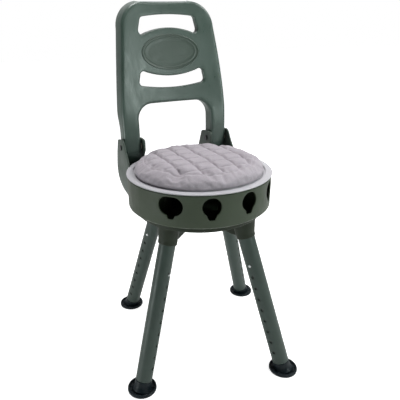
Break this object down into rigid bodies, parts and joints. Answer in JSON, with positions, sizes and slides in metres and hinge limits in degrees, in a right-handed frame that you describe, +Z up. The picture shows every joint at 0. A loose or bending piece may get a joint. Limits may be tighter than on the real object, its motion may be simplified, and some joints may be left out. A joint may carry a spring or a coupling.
{
  "type": "swivel seat",
  "caption": "Round padded seat on a drum that turns on four splayed telescopic legs, with a slotted backrest that folds forward.",
  "frame": {"origin": "on the swivel axis, at floor level", "axes": "+Z up, -Y towards the front of the seat, +X to the sitter's left"},
  "size_m": [0.5444, 0.5444, 0.946],
  "materials": {
    "moulded_shell": "olive grey-green moulded plastic, fine grain, semi-matt",
    "back_moulding": "olive grey-green moulded plastic, fine grain, semi-matt",
    "badge_plate": "plain oval plate in the backrest's plastic",
    "leg_tube_coat": "dark olive powder coat, satin",
    "inner_tube_coat": "dark olive powder coat, worn by sliding",
    "foot_rubber": "near-black moulded foot, satin",
    "spring_steel": "bare spring steel",
    "button_steel": "plated steel button",
    "bearing_steel": "zinc plated steel",
    "screw_steel": "zinc plated steel",
    "nylon": "natural nylon",
    "board_plastic": "black moulded board",
    "rim_plastic": "pale grey moulded rim, satin",
    "cushion_fabric": "mauve-grey quilted woven cloth over foam",
    "pin_black": "blackened steel"
  },
  "bodies": {
    "base": {"base_hub": "moulded_shell", "leg_tube_1": "leg_tube_coat", "leg_tube_2": "leg_tube_coat", "leg_tube_3": "leg_tube_coat", "leg_tube_4": "leg_tube_coat", "bearing_lower_race": "bearing_steel", "bearing_balls": "bearing_steel", "ball_cage": "nylon", "lower_race_screws": "screw_steel", "pivot_bolt": "bearing_steel", "pivot_washer": "bearing_steel", "pivot_nut": "bearing_steel"},
    "seat": {"seat_drum": "moulded_shell", "bearing_upper_race": "bearing_steel", "upper_race_screws": "screw_steel", "pivot_bush": "nylon", "seat_board": "board_plastic", "board_screws": "screw_steel", "rim_ring": "rim_plastic", "seat_cushion": "cushion_fabric", "hinge_pins": "pin_black", "pin_caps": "pin_black"},
    "backrest": {"back_shell": "back_moulding", "back_badge": "badge_plate", "hinge_bushes": "nylon"},
    "leg_1": {"inner_tube_1": "inner_tube_coat", "foot_1": "foot_rubber", "button_spring_1": "spring_steel"},
    "button_1a": {"snap_button_1a": "button_steel"},
    "button_1b": {"snap_button_1b": "button_steel"},
    "leg_2": {"inner_tube_2": "inner_tube_coat", "foot_2": "foot_rubber", "button_spring_2": "spring_steel"},
    "button_2a": {"snap_button_2a": "button_steel"},
    "button_2b": {"snap_button_2b": "button_steel"},
    "leg_3": {"inner_tube_3": "inner_tube_coat", "foot_3": "foot_rubber", "button_spring_3": "spring_steel"},
    "button_3a": {"snap_button_3a": "button_steel"},
    "button_3b": {"snap_button_3b": "button_steel"},
    "leg_4": {"inner_tube_4": "inner_tube_coat", "foot_4": "foot_rubber", "button_spring_4": "spring_steel"},
    "button_4a": {"snap_button_4a": "button_steel"},
    "button_4b": {"snap_button_4b": "button_steel"}
  },
  "joints": [
    {"name": "seat_swivel", "type": "hinge", "parent": "base", "child": "seat", "pos_m": [0, 0, 0.45], "axis": [0, 0, 1], "continuous": true},
    {"name": "back_fold", "type": "hinge", "parent": "seat", "child": "backrest", "pos_m": [0, 0.165, 0.572], "axis": [1, 0, 0], "range_deg": [0, 80]},
    {"name": "leg_1_slide", "type": "slide", "parent": "base", "child": "leg_1", "axis": [0.1774, -0.2769, -0.9444], "range_m": [0, 0.2576], "deforming": ["snap_button_1a", "snap_button_1b"]},
    {"name": "button_1a_press", "type": "slide", "parent": "leg_1", "child": "button_1a", "axis": [-0.842, -0.5395, 0], "range_m": [0, 0.0052], "stiffness_N_per_m": 400, "springref_m": -0.002, "deforming": ["button_spring_1"]},
    {"name": "button_1b_press", "type": "slide", "parent": "leg_1", "child": "button_1b", "axis": [0.842, 0.5395, 0], "range_m": [0, 0.0052], "stiffness_N_per_m": 400, "springref_m": -0.002},
    {"name": "leg_2_slide", "type": "slide", "parent": "base", "child": "leg_2", "axis": [0.2769, 0.1774, -0.9444], "range_m": [0, 0.2576], "deforming": ["snap_button_2a", "snap_button_2b"]},
    {"name": "button_2a_press", "type": "slide", "parent": "leg_2", "child": "button_2a", "axis": [0.5395, -0.842, 0], "range_m": [0, 0.0052], "stiffness_N_per_m": 400, "springref_m": -0.002, "deforming": ["button_spring_2"]},
    {"name": "button_2b_press", "type": "slide", "parent": "leg_2", "child": "button_2b", "axis": [-0.5395, 0.842, 0], "range_m": [0, 0.0052], "stiffness_N_per_m": 400, "springref_m": -0.002},
    {"name": "leg_3_slide", "type": "slide", "parent": "base", "child": "leg_3", "axis": [-0.1774, 0.2769, -0.9444], "range_m": [0, 0.2576], "deforming": ["snap_button_3a", "snap_button_3b"]},
    {"name": "button_3a_press", "type": "slide", "parent": "leg_3", "child": "button_3a", "axis": [0.842, 0.5395, 0], "range_m": [0, 0.0052], "stiffness_N_per_m": 400, "springref_m": -0.002, "deforming": ["button_spring_3"]},
    {"name": "button_3b_press", "type": "slide", "parent": "leg_3", "child": "button_3b", "axis": [-0.842, -0.5395, 0], "range_m": [0, 0.0052], "stiffness_N_per_m": 400, "springref_m": -0.002},
    {"name": "leg_4_slide", "type": "slide", "parent": "base", "child": "leg_4", "axis": [-0.2769, -0.1774, -0.9444], "range_m": [0, 0.2576], "deforming": ["snap_button_4a", "snap_button_4b"]},
    {"name": "button_4a_press", "type": "slide", "parent": "leg_4", "child": "button_4a", "axis": [-0.5395, 0.842, 0], "range_m": [0, 0.0052], "stiffness_N_per_m": 400, "springref_m": -0.002, "deforming": ["button_spring_4"]},
    {"name": "button_4b_press", "type": "slide", "parent": "leg_4", "child": "button_4b", "axis": [0.5395, -0.842, 0], "range_m": [0, 0.0052], "stiffness_N_per_m": 400, "springref_m": -0.002}
  ]
}
